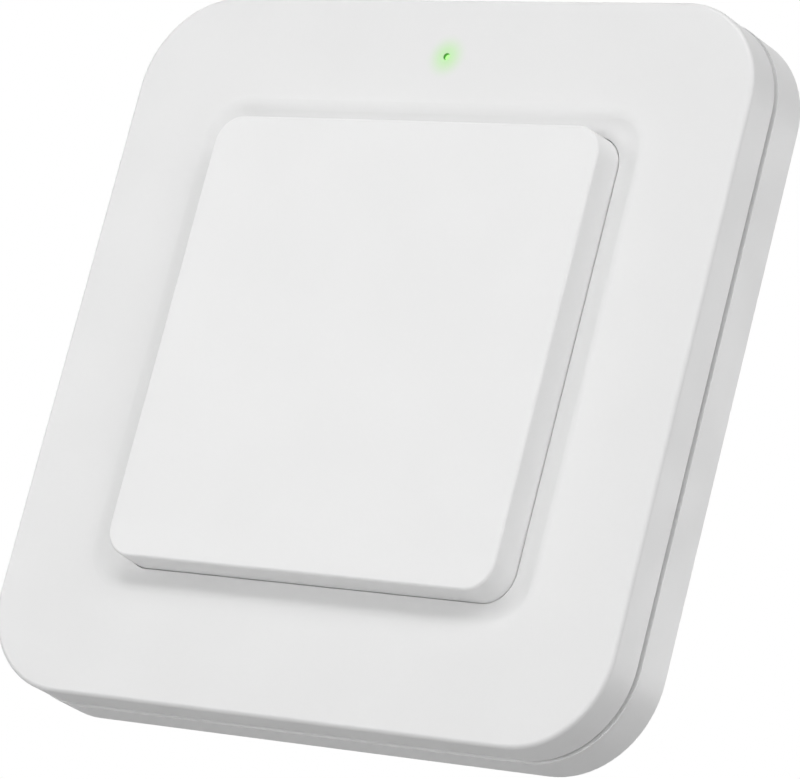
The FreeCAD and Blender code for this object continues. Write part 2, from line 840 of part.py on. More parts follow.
def switch_terminals(y):
    """Four bent legs of a tactile switch, soldered flat on the board."""
    legs = []
    for side, leg_side in four_corners(1, 1):
        wall_x = switch_x + side * switch_length / 2
        leg_y = y + leg_side * terminal_spread
        y_pair = (leg_y - terminal_width / 2, leg_y + terminal_width / 2)
        upright = block((wall_x, wall_x + side * terminal_thickness), y_pair,
                        (board_top, board_top + terminal_rise))
        foot = block((wall_x, wall_x + side * terminal_foot), y_pair,
                     (board_top, board_top + terminal_thickness))
        legs.append(fused([upright, foot]))
    return Part.makeCompound(legs)


def switch_dome(y):
    """Snap dome that gives the click, half pressed in at rest."""
    rim = dome_diameter / 2
    radius = (rim ** 2 + dome_height ** 2) / (2 * dome_height)
    centre = Vector(switch_x, y, cup_floor + dome_height - radius)
    shell = Part.makeSphere(radius, centre).cut(Part.makeSphere(radius - dome_thickness, centre))
    return shell.common(cylinder(rim, cup_floor, cup_floor + dome_height + spare, switch_x, y))


def switch_plunger(y):
    """Stem of a tactile switch, held by its flange under the cover."""
    nub_low = cup_floor + dome_height + plunger_dome_gap
    flange_low = nub_low + plunger_nub_height
    flange_top = flange_low + plunger_flange_thickness
    nub = plunger_nub / 2
    flange = plunger_flange / 2
    stem = plunger_stem / 2
    return turned([
        (0, nub_low), (nub, nub_low), (nub, flange_low), (flange, flange_low), (flange, flange_top),
        (stem, flange_top), (stem, plunger_top - plunger_edge), (stem - plunger_edge, plunger_top),
        (0, plunger_top),
    ], switch_x, y)


def status_led():
    """Green light below its pipe."""
    split = board_top + led_height / 2
    body = centred_block(led_length, led_width, board_top, split, light_x, light_y)
    lens = centred_block(led_lens, led_width, split, board_top + led_height, light_x, light_y)
    return fused([body, lens])


def controller_chip():
    """Controller with a row of bent legs on both long sides."""
    low = board_top + controller_standoff
    high = low + controller_height
    pieces = [centred_block(controller_width, controller_length, low, high, controller_x)]
    shoulder_z = low + controller_height / 2
    shoulder = (shoulder_z, shoulder_z + lead_thickness)
    foot = (board_top, board_top + lead_thickness)
    first_y = -(leads_per_side - 1) / 2 * lead_pitch
    for side in (-1, 1):
        edge = controller_x + side * controller_width / 2
        root = edge - side * lead_root
        drop = edge + side * lead_shoulder
        toe = drop + side * lead_foot
        for number in range(leads_per_side):
            y = first_y + number * lead_pitch
            y_pair = (y - lead_width / 2, y + lead_width / 2)
            pieces.append(block((root, drop), y_pair, shoulder))
            pieces.append(block((drop, drop - side * lead_thickness), y_pair, (board_top, shoulder[1])))
            pieces.append(block((drop - side * lead_thickness, toe), y_pair, foot))
    return fused(pieces)


def radio_chip():
    """Radio transmitter."""
    top = board_top + radio_height
    chip = centred_block(radio_size, radio_size, board_top, top, radio_x, radio_y)
    return chip.makeChamfer(radio_edge, level_edges(chip, top))


def radio_crystal():
    """Crystal of the radio, with its metal lid."""
    x = radio_x - radio_size / 2 - crystal_gap - crystal_length / 2
    lid_low = board_top + crystal_height - crystal_lid
    body = centred_block(crystal_length, crystal_width, board_top, lid_low, x, radio_y)
    lid = centred_block(crystal_length - 2 * crystal_lid_inset, crystal_width - 2 * crystal_lid_inset,
                        lid_low, board_top + crystal_height, x, radio_y)
    return fused([body, lid])


def chip_row(count, height, middle_x, y):
    """A row of equal two-ended chips along X."""
    chips = []
    for number in range(count):
        x = middle_x + (number - (count - 1) / 2) * chip_pitch
        chips.append(centred_block(chip_width, chip_length, board_top, board_top + height, x, y))
    return Part.makeCompound(chips)


def antenna():
    """Wire loop that stands on the board at both ends."""
    low_y = carrier_half_y + antenna_carrier_gap
    z = board_top + antenna_height
    points = [
        Vector(antenna_left, low_y, board_top),
        Vector(antenna_left, low_y, z),
        Vector(antenna_left, antenna_high_y, z),
        Vector(antenna_right, antenna_high_y, z),
        Vector(antenna_right, low_y, z),
        Vector(antenna_right, low_y, board_top),
    ]
    section = Part.Wire(Part.makeCircle(antenna_wire / 2, points[0], Vector(0, 0, 1)))
    return bent_path(points, antenna_bend).makePipeShell([section], True, False)


def save(name, shape):
    """Stand the piece up against the wall and write it out."""
    stood = shape.rotated(Vector(0, 0, 0), Vector(1, 0, 0), 90)
    stood.exportStep(os.path.join("parts", name + ".step"))


pieces = {
    "rear_housing": rear_housing(),
    "front_frame": front_frame(),
    "light_pipe": light_pipe(),
    "key_cap": key_cap(),
    "rocker_cradle": rocker_cradle(),
    "key_carrier": key_carrier(),
    "circuit_board": circuit_board(),
    "carrier_screws": carrier_screws(),
    "adhesive_pads": Part.makeCompound(tape_strips(0, 0)),
    "coin_cell": coin_cell(),
    "battery_holder": battery_holder(),
    "battery_positive_contact": battery_positive_contact(),
    "battery_negative_contact": battery_negative_contact(),
    "status_led": status_led(),
    "controller_chip": controller_chip(),
    "radio_chip": radio_chip(),
    "radio_crystal": radio_crystal(),
    "antenna": antenna(),
    "chip_capacitors": chip_row(capacitor_count, capacitor_height, capacitor_x, capacitor_y),
    "chip_resistors": chip_row(resistor_count, resistor_height, resistor_x, resistor_y),
}
for half, y in (("upper", switch_arm), ("lower", -switch_arm)):
    pieces[half + "_switch_base"] = switch_base(y)
    pieces[half + "_switch_cover"] = switch_cover_plate(y)
    pieces[half + "_switch_terminals"] = switch_terminals(y)
    pieces[half + "_switch_dome"] = switch_dome(y)
    pieces[half + "_switch_plunger"] = switch_plunger(y)

os.makedirs("parts", exist_ok=True)
for name, piece in pieces.items():
    save(name, piece)
    print(name, "solids", len(piece.Solids), "valid", piece.isValid(), "mm3", round(piece.Volume, 2))
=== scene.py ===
import math

import bmesh
import bpy
from mathutils import Matrix, Vector


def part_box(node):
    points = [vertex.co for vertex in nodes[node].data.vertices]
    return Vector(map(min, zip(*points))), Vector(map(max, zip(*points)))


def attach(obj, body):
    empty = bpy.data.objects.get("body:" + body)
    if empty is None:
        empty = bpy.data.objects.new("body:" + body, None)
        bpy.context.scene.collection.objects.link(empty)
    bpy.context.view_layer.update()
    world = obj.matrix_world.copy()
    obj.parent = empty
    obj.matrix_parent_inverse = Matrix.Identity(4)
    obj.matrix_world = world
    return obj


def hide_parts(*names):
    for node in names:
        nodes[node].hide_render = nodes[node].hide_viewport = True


MM = 0.001

# Camera: its lens, its place and the directions to its right and its back
LENS_MM = 208.6
SENSOR_MM = 36.0
NEAREST_SEEN = 0.01
CAMERA_PLACE = (0.2887, -0.3757, -0.1170)
CAMERA_RIGHT = (0.8028, 0.5443, 0.2434)
CAMERA_BACK = (0.5935, -0.7690, -0.2377)

# Outside: two whites, of which the key's is a trace brighter, and their satin finish
KEY_TONE = 0.88
PLATE_TONE = 0.84
SATIN_ROUGHNESS = 0.45
SATIN_UNEVENNESS = 0.01

# Status light: the green at its tip, the green of the glow painted on the plate, its hole with green
# light painted on its wall, and how far and how strongly the painted glow colours the plate round the
# hole
TIP_GREEN = (0.36, 0.95, 0.20)
PAINTED_GLOW_EMISSION = (0.10, 1.0, 0.04)
HOLE_RADIUS = 0.39 * MM
HOLE_WALL_RADIUS = HOLE_RADIUS * 1.04
HOLE_WALL_PAINTED_LIGHT = (0.09, 0.30, 0.045)
HALO_FROM = 0.2 * MM
HALO_REACH = 3.0 * MM
HALO_FALL = 1.4
PAINTED_GLOW_COLOUR = (0.60, 0.84, 0.50)
PAINTED_GLOW_STRENGTH = 0.055
TIP_DEPTH = 0.12 * MM
PIPE_TINTS = ((0.72, 0.95, 0.66), (0.80, 0.97, 0.76))
LENS_TINTS = ((0.62, 0.92, 0.52), (0.72, 0.95, 0.64))
LENS_GREEN = (0.3, 1.0, 0.16)
LENS_STRENGTH = 0.8

# Mould clouds and flecks: their size and how much of the darker colour they bring
MOULD_CLOUD = 9 * MM
MOULD_FLECK = 0.5 * MM
CLOUD_SHARE = 0.6
FLECK_SHARE = 0.4
PLASTIC_SHINE_SWING = 0.03

# Mould grain of the plastics: its size and its depth
SATIN_GRAIN = (0.16 * MM, 0.002 * MM)
INNER_GRAIN = (0.2 * MM, 0.004 * MM)
HOLDER_GRAIN = (0.12 * MM, 0.005 * MM)
BASE_GRAIN = (0.12 * MM, 0.004 * MM)
PLUNGER_GRAIN = (0.08 * MM, 0.003 * MM)

# Plastics inside
CRADLE_GREY = (0.60, 0.61, 0.62)
CARRIER_GREY = (0.64, 0.65, 0.66)
HOLDER_BLACK = (0.045, 0.045, 0.05)
BASE_BLACK = (0.05, 0.05, 0.055)
PLUNGER_TONE = 0.12
POLISHED_TONE = 0.17
POLISHED_SPOT = (0.3 * MM, 1.1 * MM)

# Metals inside, and the directions along which sheet is drawn
SCREW_STEEL = (0.66, 0.67, 0.68)
CELL_STEEL = (0.74, 0.74, 0.72)
DOME_STEEL = (0.78, 0.77, 0.74)
COVER_STEEL = (0.70, 0.70, 0.69)
CONTACT_TIN = (0.80, 0.79, 0.74)
WIRE_COPPER = (0.78, 0.56, 0.38)
TURNED_STAIN = (0.93, 0.9, 0.8)
DRAWN_ALONG_X = (0.08, 1, 1)
DRAWN_ALONG_Z = (1, 1, 0.08)
NOT_DRAWN = (1, 1, 1)
ROLL_MARK = 0.06 * MM
ROLLED_SHINE_SWING = 0.08
TURNED_SHINE_SWING = 0.06
TURNING_WOBBLE = 0.1 * MM
MARK_DEPTH = 0.002 * MM
SCREW_RADIUS = 2.0 * MM
SCREW_GROOVES = 0.1 * MM
CELL_GROOVES = 0.12 * MM
DOME_GROOVES = 0.07 * MM

# Circuit board: pitch of its lanes, length of a run, thickness of a ply of glass cloth
LANE_PITCH = 0.9 * MM
TRACK_RUN = 6.3 * MM
PLY = 0.18 * MM
# Half widths as shares of the pitch, each where it is full and where it ends
TRACK_HALF = (0.14, 0.2)
VIA_HALF = (0.3, 0.34)
VIA_HOLE_HALF = (0.13, 0.16)
# Draws above which a lane has a track and a crossing has a via
TRACK_DRAW = 0.6
VIA_DRAW = 0.93
MASK_GREENS = ((0.030, 0.22, 0.095), (0.045, 0.27, 0.125))
TRACK_GREEN = (0.075, 0.37, 0.17)
VIA_TIN = (0.72, 0.71, 0.66)
# The via holes are not cut; their dark middles are painted shade.
VIA_HOLE_PAINTED_SHADE = (0.02, 0.03, 0.02)
GLASS_CLOTH = ((0.42, 0.40, 0.20), (0.62, 0.60, 0.36))
TRACK_HEIGHT = 0.03 * MM

# Chips: moulding, the dimple at the first corner, legs, leads and end caps
SOFT_EDGE = 0.02 * MM
EPOXY_BLACKS = (0.032, 0.05)
DIMPLE_TONE = 0.09
DIMPLE_EDGE = (0.2 * MM, 0.28 * MM)
DIMPLE_DEPTH = 0.05 * MM
LEG_TINS = ((0.72, 0.72, 0.70), (0.58, 0.58, 0.56))
LEG_REACH = 1.0 * MM
LEAD_PITCH = 0.5 * MM
LEAD_HALF = (0.22, 0.26)
LEAD_HEIGHT = 0.2 * MM
LEAD_DEPTH = 0.05 * MM
LID_TOP = 0.52 * MM
LID_FOOT = 0.48 * MM
CRYSTAL_CERAMICS = ((0.62, 0.60, 0.56), (0.74, 0.72, 0.68))
LID_GOLDS = ((0.80, 0.72, 0.52), (0.68, 0.60, 0.42))
CAP_LENGTH = 0.35 * MM
CAP_TINS = ((0.74, 0.74, 0.72), (0.58, 0.58, 0.57))
CAP_HEIGHT = 0.03 * MM
CAPACITOR_TAN = (0.55, 0.40, 0.27)
RESISTOR_TONE = 0.045
LED_WHITES = (0.80, 0.72)
LED_END_GOLD = (0.72, 0.66, 0.42)
LED_END_FROM = 0.8 * MM

# Coin cell: the seal ring lies inside the can's wall
SEAL_INSET = 1.3 * MM
SEAL_HALF = 0.2 * MM
SEAL_EDGE = 0.26 * MM
SEAL_TONE = 0.03

# Mounting tape: width of a strip, its corner, how far its cut edge bulges, and its foam
TAPE_WIDTH = 14.0 * MM
TAPE_CORNER = 2.0 * MM
TAPE_BULGE = 0.08 * MM
TAPE_RINGS = 9
TAPE_CORNER_STEPS = 8
SHARP_FROM = math.radians(40)
FOAM_WHITES = ((0.88, 0.88, 0.86), (0.80, 0.80, 0.77))
# The grey laid where the foam's relief is lowest is painted shade.
PORE_PAINTED_SHADE = (0.62, 0.62, 0.59)
PORE_SIZE = 0.22 * MM
PORE_DEPTH = 0.03 * MM

# Soft boxes at one distance: name, azimuth and elevation in degrees, width, height, level and
# beam angle. Azimuth 0 is in front of the switch and 90 to its right. A beam less than open, as
# of a gridded box, keeps most of the lamp's light off the floor.
LAMP_DISTANCE = 1.0
OPEN_BEAM = 180
LAMPS = (
    ("rear_right_strip", 143, 10, 0.30, 0.44, 0.190, OPEN_BEAM),
    ("right_high", 61, 32, 0.30, 0.30, 0.172, OPEN_BEAM),
    ("right_low", 69, 2, 0.50, 0.30, 0.078, OPEN_BEAM),
    ("top_wide", 6, 48, 0.90, 0.36, 0.314, OPEN_BEAM),
    ("left_side", -46, 13, 0.45, 0.42, 0.142, OPEN_BEAM),
    ("front_low", 0, -14, 0.60, 0.20, 0.272, 90),
    ("rear_left", -150, 4, 0.30, 0.30, 0.40, 24),
    ("rear_middle", 180, 8, 0.30, 0.30, 0.25, 24),
)

# Floor: height, half its side, its tones, its clouds, and how much paler it is seen than lit
FLOOR_HEIGHT = -0.35
FLOOR_REACH = 3.0
FLOOR_TONES = (0.69, 0.72)
FLOOR_CLOUD = 0.2
FLOOR_PATCH = 0.05
FLOOR_LIFT = 0.38

# World: a faint level of light, and the white that is seen
SKY_LIGHT = 0.02
SKY_SEEN = 1.0


class Graph:
    """Builds the node tree of one material round a Principled shader."""

    def __init__(self, name):
        self.material = bpy.data.materials.new(name)
        self.material.use_nodes = True
        self.nodes = self.material.node_tree.nodes
        self.links = self.material.node_tree.links
        self.nodes.clear()
        self.output = self.nodes.new("ShaderNodeOutputMaterial")
        self.shader = self.nodes.new("ShaderNodeBsdfPrincipled")
        self.links.new(self.shader.outputs["BSDF"], self.output.inputs["Surface"])
        self.place = self.nodes.new("ShaderNodeTexCoord").outputs["Object"]
        self.x, self.y, self.z = self.axes(self.place)

    def plug(self, value, socket):
        """Connects an output, or sets a plain number or colour."""
        if isinstance(value, bpy.types.NodeSocket):
            self.links.new(value, socket)
        elif socket.type == "RGBA":
            socket.default_value = (*value, 1.0)
        else:
            socket.default_value = value

    def set(self, **sockets):
        """Sets sockets of the shader; an underscore stands for a space."""
        for name, value in sockets.items():
            self.plug(value, self.shader.inputs[name.replace("_", " ")])

    def maths(self, kind, a, b=0.0):
        """One step of arithmetic on one or two numbers."""
        node = self.nodes.new("ShaderNodeMath")
        node.operation = kind
        self.plug(a, node.inputs[0])
        self.plug(b, node.inputs[1])
        return node.outputs[0]

    def both(self, a, b):
        """Where two masks overlap."""
        return self.maths("MULTIPLY", a, b)

    def either(self, a, b):
        """Where one of two masks is."""
        return self.maths("MAXIMUM", a, b)

    def axes(self, vector):
        """The three parts of a vector."""
        node = self.nodes.new("ShaderNodeSeparateXYZ")
        self.plug(vector, node.inputs[0])
        return node.outputs

    def vector(self, x, y, z=0.0):
        node = self.nodes.new("ShaderNodeCombineXYZ")
        for value, socket in zip((x, y, z), node.inputs):
            self.plug(value, socket)
        return node.outputs[0]

    def offset(self, value, middle):
        """Distance of a coordinate from a middle, either way."""
        return self.maths("ABSOLUTE", self.maths("SUBTRACT", value, middle))

    def radius(self, across, along):
        """Length of a flat vector."""
        squares = [self.maths("MULTIPLY", part, part) for part in (across, along)]
        return self.maths("SQRT", self.maths("ADD", *squares))

    def away_from(self, point):
        """Distance from a point, seen from in front of the switch."""
        return self.radius(self.offset(self.x, point.x), self.offset(self.z, point.z))

    def ramp(self, value, low, high, out_low=0.0, out_high=1.0):
        """Maps low..high smoothly to out_low..out_high."""
        node = self.nodes.new("ShaderNodeMapRange")
        node.interpolation_type = "SMOOTHSTEP"
        self.plug(value, node.inputs["Value"])
        ends = {"From Min": low, "From Max": high, "To Min": out_low, "To Max": out_high}
        for name, number in ends.items():
            node.inputs[name].default_value = number
        return node.outputs["Result"]

    def spread(self, noise, out_low=0.0, out_high=1.0):
        """Stretches noise, most of which lies from 0.3 to 0.7, over the range given."""
        return self.ramp(noise, 0.3, 0.7, out_low, out_high)

    def step(self, value, level, soft):
        """Mask that is 1 above a level, with a soft edge of the width given."""
        return self.ramp(value, level - soft / 2, level + soft / 2)

    def within(self, value, full, end):
        """Mask that is 1 up to one level and fades to 0 at another."""
        return self.ramp(value, full, end, 1.0, 0.0)

    def noise(self, size, detail=2.0, rough=0.5, stretch=(1, 1, 1)):
        """Noise whose features are about size metres large."""
        mapping = self.nodes.new("ShaderNodeMapping")
        self.plug(self.place, mapping.inputs["Vector"])
        mapping.inputs["Scale"].default_value = stretch
        node = self.nodes.new("ShaderNodeTexNoise")
        self.plug(mapping.outputs[0], node.inputs["Vector"])
        node.inputs["Scale"].default_value = 1.0 / size
        node.inputs["Detail"].default_value = detail
        node.inputs["Roughness"].default_value = rough
        return node.outputs["Fac"]

    def cells(self, size, smooth=0.6):
        """Small rounded cells about size metres large, as spark-eroded moulds leave them."""
        node = self.nodes.new("ShaderNodeTexVoronoi")
        node.feature = "SMOOTH_F1"
        self.plug(self.place, node.inputs["Vector"])
        node.inputs["Scale"].default_value = 1.0 / size
        node.inputs["Smoothness"].default_value = smooth
        return node.outputs["Distance"]

    def chance(self, across, along):
        """One random number for each whole pair of numbers."""
        node = self.nodes.new("ShaderNodeTexWhiteNoise")
        node.noise_dimensions = "2D"
        cell = self.vector(self.maths("FLOOR", across), self.maths("FLOOR", along))
        self.plug(cell, node.inputs["Vector"])
        return node.outputs["Value"]

    def rings(self, radius, pitch):
        """Turned grooves, as a wave of the pitch given."""
        return self.maths("SINE", self.maths("MULTIPLY", radius, 2 * math.pi / pitch))

    def mix(self, factor, first, second):
        """Blends two colours."""
        node = self.nodes.new("ShaderNodeMix")
        node.data_type = "RGBA"
        self.plug(factor, node.inputs["Factor"])
        self.plug(first, node.inputs["A"])
        self.plug(second, node.inputs["B"])
        return node.outputs["Result"]

    def clouds(self, size, detail, colours):
        """Two colours that pass into each other in clouds about size metres large."""
        return self.mix(self.spread(self.noise(size, detail)), *colours)

    def blend(self, factor, first, second):
        """Blends two plain numbers."""
        node = self.nodes.new("ShaderNodeMix")
        for value, name in ((factor, "Factor"), (first, "A"), (second, "B")):
            self.plug(value, node.inputs[name])
        return node.outputs["Result"]

    def bump(self, height, depth, before=None):
        """Relief of the shader's surface, on top of the relief before it."""
        node = self.nodes.new("ShaderNodeBump")
        node.inputs["Distance"].default_value = depth
        self.plug(height, node.inputs["Height"])
        if before is not None:
            self.plug(before, node.inputs["Normal"])
        self.plug(node.outputs[0], self.shader.inputs["Normal"])
        return node.outputs[0]


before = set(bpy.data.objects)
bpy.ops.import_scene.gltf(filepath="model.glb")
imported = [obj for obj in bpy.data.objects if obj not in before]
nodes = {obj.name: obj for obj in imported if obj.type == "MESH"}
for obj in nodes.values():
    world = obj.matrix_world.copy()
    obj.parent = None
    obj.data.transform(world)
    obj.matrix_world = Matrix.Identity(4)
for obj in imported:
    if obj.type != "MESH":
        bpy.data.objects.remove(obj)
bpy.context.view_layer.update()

camera_data = bpy.data.cameras.new("camera")
camera_data.sensor_width = SENSOR_MM
camera_data.lens = LENS_MM
camera_data.clip_start = NEAREST_SEEN
camera = bpy.data.objects.new("camera", camera_data)
bpy.context.scene.collection.objects.link(camera)
back = Vector(CAMERA_BACK).normalized()
up = back.cross(Vector(CAMERA_RIGHT)).normalized()
turn = Matrix((up.cross(back), up, back)).transposed()
camera.matrix_world = Matrix.Translation(CAMERA_PLACE) @ turn.to_4x4()
bpy.context.scene.camera = camera
bpy.context.scene.view_settings.view_transform = "Standard"


def centre_of(node):
    low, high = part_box(node)
    return (low + high) / 2


def grey(tone):
    return (tone, tone, tone)


def darker(colour, share):
    return tuple(part * (1 - share) for part in colour)


def moulded(name, colour, grain, depth, roughness, uneven=0.08):
    """Injection moulding: spark-eroded grain, and faint clouds in colour and shine."""
    g = Graph(name)
    cloud = g.noise(MOULD_CLOUD, 3.0)
    fleck = g.noise(MOULD_FLECK)
    dull = darker(colour, uneven)
    g.colour = g.mix(g.spread(cloud, 0.0, CLOUD_SHARE), colour, dull)
    g.colour = g.mix(g.spread(fleck, 0.0, FLECK_SHARE), g.colour, dull)
    g.set(Base_Color=g.colour)
    swing = PLASTIC_SHINE_SWING
    g.set(Roughness=g.spread(cloud, roughness - swing, roughness + swing))
    g.bump(g.cells(grain), depth)
    return g


def satin_white(name, tone):
    """The satin white of the outside: a fine grain on an even tone."""
    return moulded(name, grey(tone), *SATIN_GRAIN, SATIN_ROUGHNESS, SATIN_UNEVENNESS)


def plate_with_painted_glow(name, tone):
    """The plate's white, with the status light's glow painted on round the hole and its green light
    painted on the hole's wall.
    """
    g = satin_white(name, tone)
    away = g.away_from(centre_of("light_pipe"))
    # Painted light: the status light's glow is painted on the plate as a green tint in its colour and
    # a faint green emission, fading out 3 mm from the hole's middle.
    painted_glow_fade = g.maths("POWER", g.within(away, HALO_FROM, HALO_REACH), HALO_FALL)
    # The hole's wall is painted green as the status light's light falling on it.
    wall = g.within(away, HOLE_RADIUS, HOLE_WALL_RADIUS)
    glow_painted_colour = g.mix(painted_glow_fade, g.colour, PAINTED_GLOW_COLOUR)
    g.set(Base_Color=g.mix(wall, glow_painted_colour, HOLE_WALL_PAINTED_LIGHT))
    g.set(Emission_Color=PAINTED_GLOW_EMISSION)
    g.set(Emission_Strength=g.maths("MULTIPLY", painted_glow_fade, PAINTED_GLOW_STRENGTH))
    return g


def lit_acrylic(name):
    """Clear pipe with drawn marks along it, which shines at its tip."""
    g = Graph(name)
    low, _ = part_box("light_pipe")
    marks = g.noise(0.08 * MM, 2.0, stretch=(1, 0.15, 1))
    haze = g.noise(0.4 * MM)
    g.set(Base_Color=g.mix(g.spread(haze), *PIPE_TINTS))
    g.set(Roughness=g.spread(haze, 0.12, 0.26))
    g.set(Transmission_Weight=0.6, IOR=1.49, Emission_Color=TIP_GREEN)
    tip = g.within(g.y, low.y, low.y + TIP_DEPTH)
    patch = g.spread(haze, 0.85, 1.0)
    g.set(Emission_Strength=g.maths("MULTIPLY", tip, patch))
    g.bump(marks, 0.003 * MM)
    return g


def rolled_metal(name, colour, drawn, roughness, stain=0.2):
    """Sheet or wire with marks along its run and faint stains."""
    g = Graph(name)
    marks = g.noise(ROLL_MARK, 3.0, 0.6, drawn)
    patches = g.noise(2.5 * MM, 3.0)
    stained = g.mix(g.ramp(patches, 0.35, 0.75), colour, darker(colour, stain))
    g.set(Base_Color=stained, Metallic=1.0)
    swing = ROLLED_SHINE_SWING
    g.set(Roughness=g.spread(marks, roughness - swing, roughness + swing))
    g.bump(marks, MARK_DEPTH)
    return g


def turned_metal(name, colour, centre, pitch, roughness, mirrored=False):
    """Metal turned about one centre, or about four that mirror each other."""
    g = Graph(name)
    across, along = g.x, g.z
    if mirrored:
        across, along = g.maths("ABSOLUTE", g.x), g.maths("ABSOLUTE", g.z)
    radius = g.radius(g.offset(across, centre.x), g.offset(along, centre.z))
    wobble = g.maths("MULTIPLY", g.noise(1.5 * MM), TURNING_WOBBLE)
    grooves = g.rings(g.maths("ADD", radius, wobble), pitch)
    patches = g.noise(1.8 * MM, 3.0)
    stained = tuple(part * share for part, share in zip(colour, TURNED_STAIN))
    g.colour = g.mix(g.ramp(patches, 0.4, 0.75), colour, stained)
    g.set(Base_Color=g.colour, Metallic=1.0)
    swing = TURNED_SHINE_SWING
    g.set(Roughness=g.ramp(grooves, -1.0, 1.0, roughness - swing, roughness + swing))
    g.bump(grooves, MARK_DEPTH)
    return g


def solder_mask(name):
    """Green board: raised tracks and tinned vias, and bare glass cloth at its cut edges."""
    g = Graph(name)
    runs = []
    for across, along in ((g.x, g.z), (g.z, g.x)):
        lane = g.maths("DIVIDE", across, LANE_PITCH)
        centre_line = g.offset(g.maths("FRACT", lane), 0.5)
        used = g.step(g.chance(lane, g.maths("DIVIDE", along, TRACK_RUN)), TRACK_DRAW, 0.02)
        runs.append(g.both(g.within(centre_line, *TRACK_HALF), used))
    tracks = g.either(*runs)
    column, row = (g.maths("DIVIDE", part, LANE_PITCH) for part in (g.x, g.z))
    spot = g.radius(g.offset(g.maths("FRACT", column), 0.5), g.offset(g.maths("FRACT", row), 0.5))
    chosen = g.step(g.chance(column, row), VIA_DRAW, 0.01)
    via = g.both(g.within(spot, *VIA_HALF), chosen)
    hole = g.both(g.within(spot, *VIA_HOLE_HALF), chosen)
    colour = g.mix(tracks, g.clouds(5 * MM, 3.0, MASK_GREENS), TRACK_GREEN)
    colour = g.mix(via, colour, VIA_TIN)
    # Painted shade: each chosen via gets a dark middle in place of a real hole.
    colour = g.mix(hole, colour, VIA_HOLE_PAINTED_SHADE)
    facing = g.axes(g.nodes.new("ShaderNodeNewGeometry").outputs["True Normal"])[1]
    edge = g.within(g.maths("ABSOLUTE", facing), 0.4, 0.6)
    cloth = g.mix(g.ramp(g.rings(g.y, PLY), -1.0, 1.0), *GLASS_CLOTH)
    g.set(Base_Color=g.mix(edge, colour, cloth))
    g.set(Metallic=g.both(via, 0.9))
    g.set(Roughness=g.blend(edge, g.ramp(tracks, 0.0, 1.0, 0.34, 0.26), 0.75))
    fine = g.bump(g.noise(0.3 * MM), 0.003 * MM)
    g.bump(g.either(tracks, via), TRACK_HEIGHT, fine)
    return g


def epoxy(name, node, metal, dimple_inset):
    """Black chip: matte moulding with a dimple at its first corner; a mask gives its bare metal."""
    g = Graph(name)
    low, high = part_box(node)
    patch = g.noise(1.2 * MM, 3.0)
    black = g.mix(g.spread(patch), *(grey(tone) for tone in EPOXY_BLACKS))
    away = g.away_from(Vector((low.x + dimple_inset, 0, high.z - dimple_inset)))
    dimple = g.within(away, *DIMPLE_EDGE)
    black = g.mix(dimple, black, grey(DIMPLE_TONE))
    fine = g.bump(g.cells(0.05 * MM), 0.003 * MM)
    g.bump(dimple, -DIMPLE_DEPTH, fine)
    bare = metal(g)
    g.set(Base_Color=g.mix(bare, black, g.clouds(0.3 * MM, 2.0, LEG_TINS)), Metallic=bare)
    g.set(Roughness=g.blend(bare, g.spread(patch, 0.52, 0.62), 0.3))
    return g


def controller_legs(g):
    """Everything beyond the moulded body's two long sides."""
    low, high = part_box("controller_chip")
    body_half = (high.x - low.x) / 2 - LEG_REACH
    return g.step(g.offset(g.x, (low.x + high.x) / 2), body_half, SOFT_EDGE)


def radio_leads(g):
    """Tinned ends of the flat leads, in the part of the body's sides next to the board."""
    low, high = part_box("radio_chip")
    middle = centre_of("radio_chip")
    near_board = g.step(g.y, high.y - LEAD_HEIGHT, SOFT_EDGE)
    side_from = (high.x - low.x) / 2 - LEAD_DEPTH
    rows = []
    for along, across, centre in ((g.x, g.z, middle.z), (g.z, g.x, middle.x)):
        band = g.offset(g.maths("FRACT", g.maths("DIVIDE", along, LEAD_PITCH)), 0.5)
        side = g.step(g.offset(across, centre), side_from, SOFT_EDGE)
        rows.append(g.both(g.within(band, *LEAD_HALF), side))
    return g.both(near_board, g.either(*rows))


def lidded_crystal(name):
    """White ceramic tray with a gold-tinted metal lid."""
    g = Graph(name)
    _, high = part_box("radio_crystal")
    lid = g.within(g.y, high.y - LID_TOP, high.y - LID_FOOT)
    brushed = g.noise(0.04 * MM, 3.0, 0.6, (0.1, 1, 1))
    ceramic = g.clouds(0.2 * MM, 2.0, CRYSTAL_CERAMICS)
    gold = g.mix(g.spread(brushed), *LID_GOLDS)
    g.set(Base_Color=g.mix(lid, ceramic, gold), Metallic=lid)
    g.set(Roughness=g.blend(lid, 0.6, g.spread(brushed, 0.2, 0.34)))
    g.bump(brushed, 0.0015 * MM)
    return g


def ended_chip(name, node, body, roughness):
    """Two-ended ceramic chips: a fired body between tinned caps."""
    g = Graph(name)
    low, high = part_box(node)
    cap_from = (high.z - low.z) / 2 - CAP_LENGTH
    caps = g.step(g.offset(g.z, (low.z + high.z) / 2), cap_from, 0.06 * MM)
    fired = g.clouds(0.25 * MM, 3.0, (body, darker(body, 0.25)))
    tin = g.clouds(0.2 * MM, 3.0, CAP_TINS)
    g.set(Base_Color=g.mix(caps, fired, tin), Metallic=caps)
    g.set(Roughness=g.blend(caps, roughness, 0.32))
    fine = g.bump(g.noise(0.08 * MM), 0.004 * MM)
    g.bump(caps, CAP_HEIGHT, fine)
    return g


